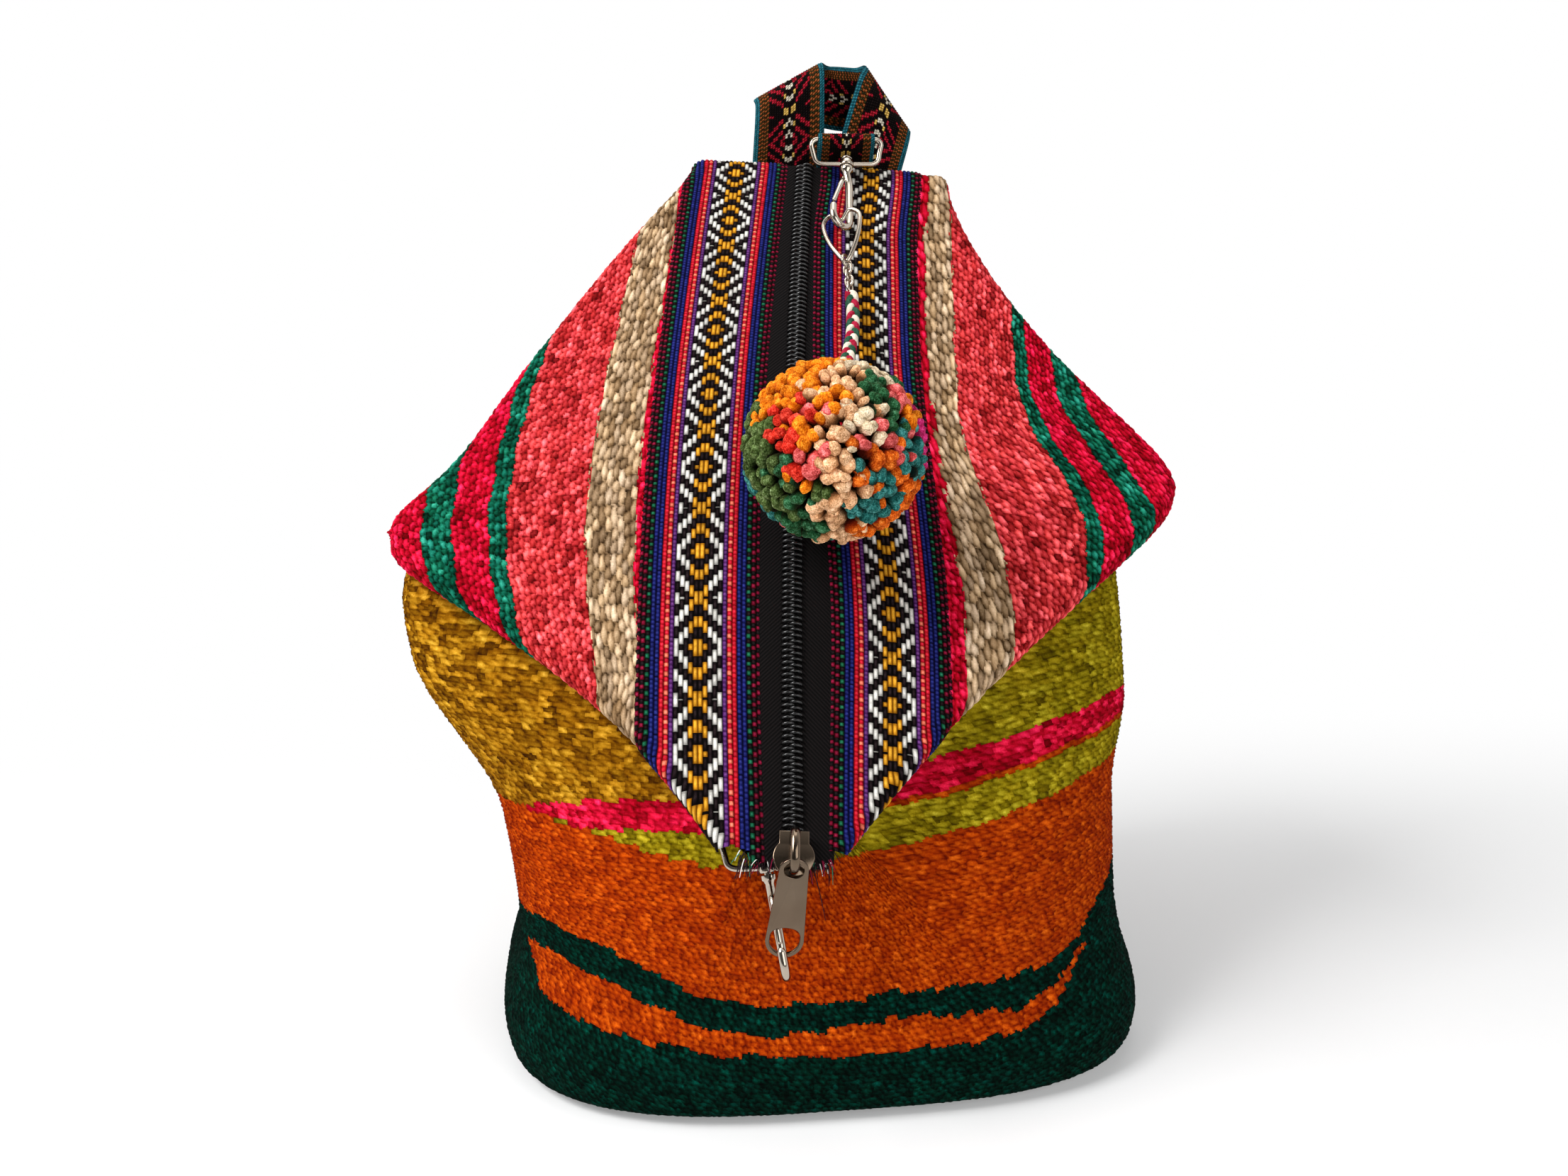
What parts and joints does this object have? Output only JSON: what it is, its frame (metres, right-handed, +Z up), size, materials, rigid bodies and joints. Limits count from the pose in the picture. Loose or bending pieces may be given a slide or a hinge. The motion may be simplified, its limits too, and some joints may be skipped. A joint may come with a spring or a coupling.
{
  "type": "backpack",
  "caption": "Soft woven backpack with a zipped mouth folded over into a diamond flap, held by a snap hook through the zip pull, with a carrying loop, shoulder straps and a pompom charm.",
  "frame": {"origin": "middle of the bottom panel's underside, on the surface that the bag stands on", "axes": "+Z up, -Y towards the front where the flap comes down, +X to the right as seen from the front"},
  "size_m": [0.3026, 0.2409, 0.3722],
  "materials": {
    "striped_wool": "coarse weft-faced wool weave in stripes of green, orange, olive, crimson and teal",
    "green_wool": "coarse dark green wool weave",
    "patterned_band": "warp-patterned woven band with a diamond motif",
    "zip_tape": "fine black twill tape",
    "zip_coil": "black nylon coil, slightly glossy",
    "nickel": "polished nickel plating with light wear",
    "strap_webbing": "patterned woven strap with teal edges",
    "twisted_yarn": "twisted wool cord in white, dark green and crimson",
    "pompom_yarn": "cut acrylic yarn in patches of colour"
  },
  "bodies": {
    "bag": {"bag_shell": "striped_wool", "base_panel": "green_wool", "band_left": "patterned_band", "band_right": "patterned_band", "zip_tape_left": "zip_tape", "zip_tape_right": "zip_tape", "zip_coil_left": "zip_coil", "zip_coil_right": "zip_coil", "zip_slider": "nickel", "lower_tab": "strap_webbing", "upper_tab": "strap_webbing", "handle_strap": "strap_webbing", "shoulder_strap_left": "strap_webbing", "shoulder_strap_right": "strap_webbing"},
    "pull": {"zip_pull": "nickel"},
    "lower_snap": {"lower_ring": "nickel", "lower_hook": "nickel"},
    "lower_gate": {"lower_gate": "nickel"},
    "upper_loop": {"upper_ring": "nickel"},
    "upper_snap": {"upper_hook": "nickel"},
    "upper_gate": {"upper_gate": "nickel"},
    "heart": {"heart_ring": "nickel"},
    "charm": {"small_ring": "nickel", "chain_link_1": "nickel", "chain_link_2": "nickel", "chain_link_3": "nickel", "chain_link_4": "nickel", "charm_cord": "twisted_yarn", "pompom": "pompom_yarn"}
  },
  "joints": [
    {"name": "lower_snap_swing", "type": "hinge", "parent": "bag", "child": "lower_snap", "pos_m": [-0.02413, -0.08548, 0.10109], "axis": [1, 0, 0], "range_deg": [-3, 3]},
    {"name": "pull_swing", "type": "hinge", "parent": "bag", "child": "pull", "pos_m": [-0.01642, -0.10891, 0.09962], "axis": [1, 0, 0], "range_deg": [-4, 4]},
    {"name": "lower_gate_press", "type": "hinge", "parent": "lower_snap", "child": "lower_gate", "pos_m": [-0.02291, -0.09687, 0.08586], "axis": [0.9853, 0, 0.171], "range_deg": [0, 15], "stiffness_Nm_per_rad": 0.02},
    {"name": "upper_ring_lift", "type": "hinge", "parent": "bag", "child": "upper_loop", "pos_m": [0.0199, 0.08548, 0.33841], "axis": [-1, 0, 0], "range_deg": [0, 30]},
    {"name": "upper_hook_swivel", "type": "hinge", "parent": "upper_loop", "child": "upper_snap", "pos_m": [0.0199, 0.08334, 0.32833], "axis": [-0.068, -0.638, -0.767], "range_deg": [-8, 8]},
    {"name": "upper_gate_press", "type": "hinge", "parent": "upper_snap", "child": "upper_gate", "pos_m": [0.01786, 0.07698, 0.3226], "axis": [0.6409, -0.6169, 0.4569], "range_deg": [0, 15], "stiffness_Nm_per_rad": 0.02},
    {"name": "heart_swing", "type": "hinge", "parent": "upper_loop", "child": "heart", "pos_m": [0.01543, 0.06147, 0.30507], "axis": [0, -0.7686, 0.6397], "range_deg": [-10, 10]},
    {"name": "charm_swing", "type": "hinge", "parent": "heart", "child": "charm", "pos_m": [0.01611, 0.04965, 0.29087], "axis": [0, -0.7686, 0.6397], "range_deg": [-10, 10]}
  ],
  "couplings": [
    {"joint": "pull_swing", "follows": "lower_snap_swing", "ratio": 1}
  ]
}
